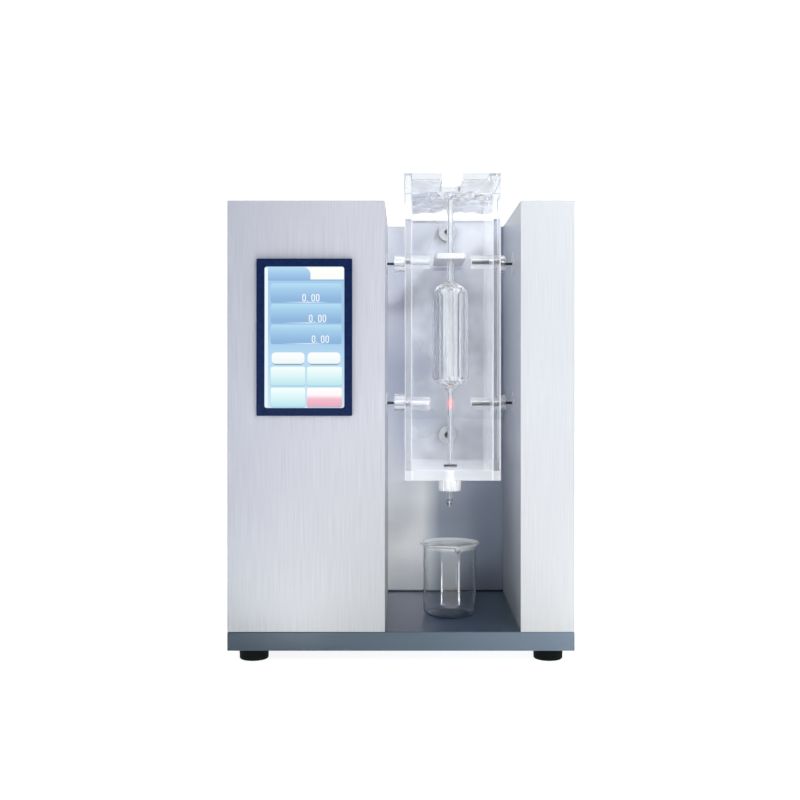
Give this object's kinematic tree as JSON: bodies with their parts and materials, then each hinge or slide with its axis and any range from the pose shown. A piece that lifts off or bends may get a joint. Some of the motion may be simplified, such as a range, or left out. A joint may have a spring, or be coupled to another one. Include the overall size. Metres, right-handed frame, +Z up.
{
  "type": "digital viscometer",
  "caption": "Capillary run-off viscometer: a glass bulb pipette in a clear water bath between a touch-screen cabinet and a slim column, over a beaker.",
  "frame": {"origin": "on the table, below the middle of the body", "axes": "+Z up, -Y towards the user, +X to the user's right"},
  "size_m": [0.368, 0.28, 0.521],
  "materials": {
    "cabinet_paint": "satin",
    "base_paint": "satin",
    "brushed_panel": "brushed",
    "foot_rubber": "matte",
    "screw_steel": "plain",
    "bezel_black": "gloss",
    "screen": "lit",
    "acrylic": "polished",
    "sleeve_acrylic": "polished",
    "laboratory_glass": "polished",
    "white_ptfe": "satin",
    "seal_rubber": "matte",
    "emitter_light": "satin",
    "sensor_black": "satin",
    "fitting_nylon": "satin",
    "black_plastic": "moulded",
    "motor_aluminium": "satin",
    "stainless": "plain",
    "hose_silicone": "satin",
    "circuit_board": "satin"
  },
  "bodies": {
    "root": {"left_cabinet_shell": "cabinet_paint", "right_column_shell": "cabinet_paint", "base_tray": "base_paint", "base_cover": "base_paint", "back_panel": "brushed_panel", "rear_cover": "brushed_panel", "foot_front_left": "foot_rubber", "foot_front_right": "foot_rubber", "foot_rear_left": "foot_rubber", "foot_rear_right": "foot_rubber", "foot_screws": "screw_steel", "cover_screws": "screw_steel", "fan_guard": "screw_steel", "display_bezel": "bezel_black", "display_panel": "screen", "tank_front": "acrylic", "tank_back": "acrylic", "tank_left": "acrylic", "tank_right": "acrylic", "tank_floor": "acrylic", "holder_ledge": "acrylic", "sleeve_upper_left": "sleeve_acrylic", "sleeve_upper_right": "sleeve_acrylic", "sleeve_lower_left": "sleeve_acrylic", "sleeve_lower_right": "sleeve_acrylic", "sleeve_collars": "sleeve_acrylic", "gland_bush": "white_ptfe", "gland_nut": "white_ptfe", "gland_seal": "seal_rubber", "port_seals": "seal_rubber", "emitter_upper": "emitter_light", "emitter_lower": "emitter_light", "receiver_upper": "sensor_black", "receiver_lower": "sensor_black", "outlet_port": "fitting_nylon", "inlet_port": "fitting_nylon", "port_nuts": "fitting_nylon", "wall_grommets": "fitting_nylon", "display_housing": "black_plastic", "fan_frame": "black_plastic", "power_inlet": "black_plastic", "switch_housing": "black_plastic", "pump_body": "black_plastic", "pump_cover": "black_plastic", "pump_motor": "motor_aluminium", "power_supply": "motor_aluminium", "display_clamps": "motor_aluminium", "heater_vessel": "stainless", "temperature_probe": "stainless", "hose_supply": "hose_silicone", "hose_return": "hose_silicone", "hose_link": "hose_silicone", "control_board": "circuit_board"},
    "lid": {"tank_lid": "acrylic"},
    "glass": {"pipette": "laboratory_glass", "pipette_holder": "white_ptfe"},
    "beaker": {"beaker": "laboratory_glass"},
    "rocker": {"switch_rocker": "black_plastic"},
    "fan": {"fan_rotor": "black_plastic"},
    "impeller": {"pump_impeller": "black_plastic"}
  },
  "joints": [
    {"name": "lid_lift", "type": "slide", "parent": "root", "child": "lid", "axis": [0, 0, 1], "range_m": [0, 0.42]},
    {"name": "pipette_lift", "type": "slide", "parent": "root", "child": "glass", "axis": [0, 0, 1], "range_m": [0, 0.366]},
    {"name": "beaker_slide", "type": "slide", "parent": "root", "child": "beaker", "axis": [0, -1, 0], "range_m": [0, 0.15]},
    {"name": "switch_rock", "type": "hinge", "parent": "root", "child": "rocker", "pos_m": [-0.088, 0.13554, 0.064], "axis": [-1, 0, 0], "range_deg": [0, 20]},
    {"name": "fan_spin", "type": "hinge", "parent": "root", "child": "fan", "pos_m": [-0.134, 0.1255, 0.419], "axis": [0, 1, 0], "continuous": true},
    {"name": "impeller_spin", "type": "hinge", "parent": "root", "child": "impeller", "pos_m": [0.015, 0.109, 0.1], "axis": [0, 0, 1], "continuous": true}
  ],
  "couplings": [
    {"joint": "pipette_lift", "follows": "lid_lift", "ratio": 0.87}
  ]
}
